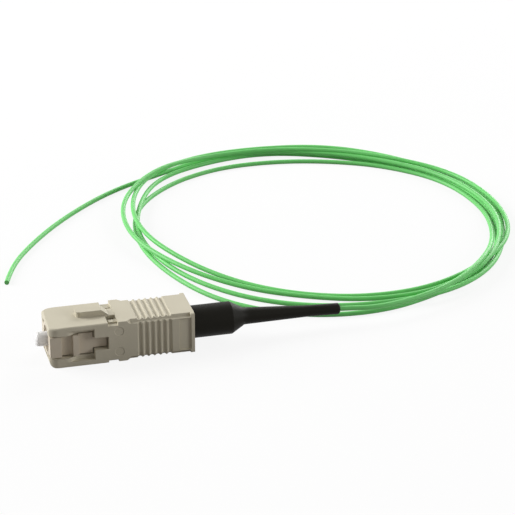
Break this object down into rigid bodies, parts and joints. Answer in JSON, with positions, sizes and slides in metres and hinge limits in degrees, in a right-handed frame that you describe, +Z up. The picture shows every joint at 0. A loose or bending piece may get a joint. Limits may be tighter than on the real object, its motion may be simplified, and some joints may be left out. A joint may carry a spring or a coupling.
{
  "type": "fibre optic pigtail",
  "caption": "Square push-pull fibre connector with a sliding coupling sleeve, a sprung ceramic ferrule and a slim boot, on a loose coil of buffered fibre with a bare cut end.",
  "frame": {"origin": "on the ferrule's optical axis, in the front plane of the coupling sleeve at rest", "axes": "+X back along the optical axis towards the boot and the fibre, +Z up through the key, +Y completes the right-handed frame"},
  "size_m": [0.0997, 0.0905, 0.0084],
  "materials": {
    "sleeve_plastic": "beige moulded plastic with a fine spark-eroded grain",
    "frame_plastic": "beige moulded plastic, smoother than the sleeve",
    "ceramic": "white polished ceramic",
    "glass": "polished glass",
    "turned_metal": "bright nickel-plated turned metal",
    "spring_steel": "drawn spring wire",
    "boot_rubber": "black satin elastomer",
    "buffer": "green extruded buffer with a soft sheen"
  },
  "bodies": {
    "plug": {"plug_frame": "frame_plastic", "stop_ring": "turned_metal", "strain_relief_boot": "boot_rubber", "ferrule_spring": "spring_steel", "fibre_lead": "buffer", "fibre_coil": "buffer", "fibre_tail": "buffer"},
    "sleeve": {"coupling_sleeve": "sleeve_plastic"},
    "ferrule": {"ferrule": "ceramic", "ferrule_holder": "turned_metal", "bare_fibre": "glass"}
  },
  "joints": [
    {"name": "sleeve_release", "type": "slide", "parent": "plug", "child": "sleeve", "axis": [1, 0, 0], "range_m": [0, 0.0016]},
    {"name": "ferrule_float", "type": "slide", "parent": "plug", "child": "ferrule", "axis": [1, 0, 0], "range_m": [0, 0.0008], "stiffness_N_per_m": 1000, "deforming": ["ferrule_spring"]}
  ]
}
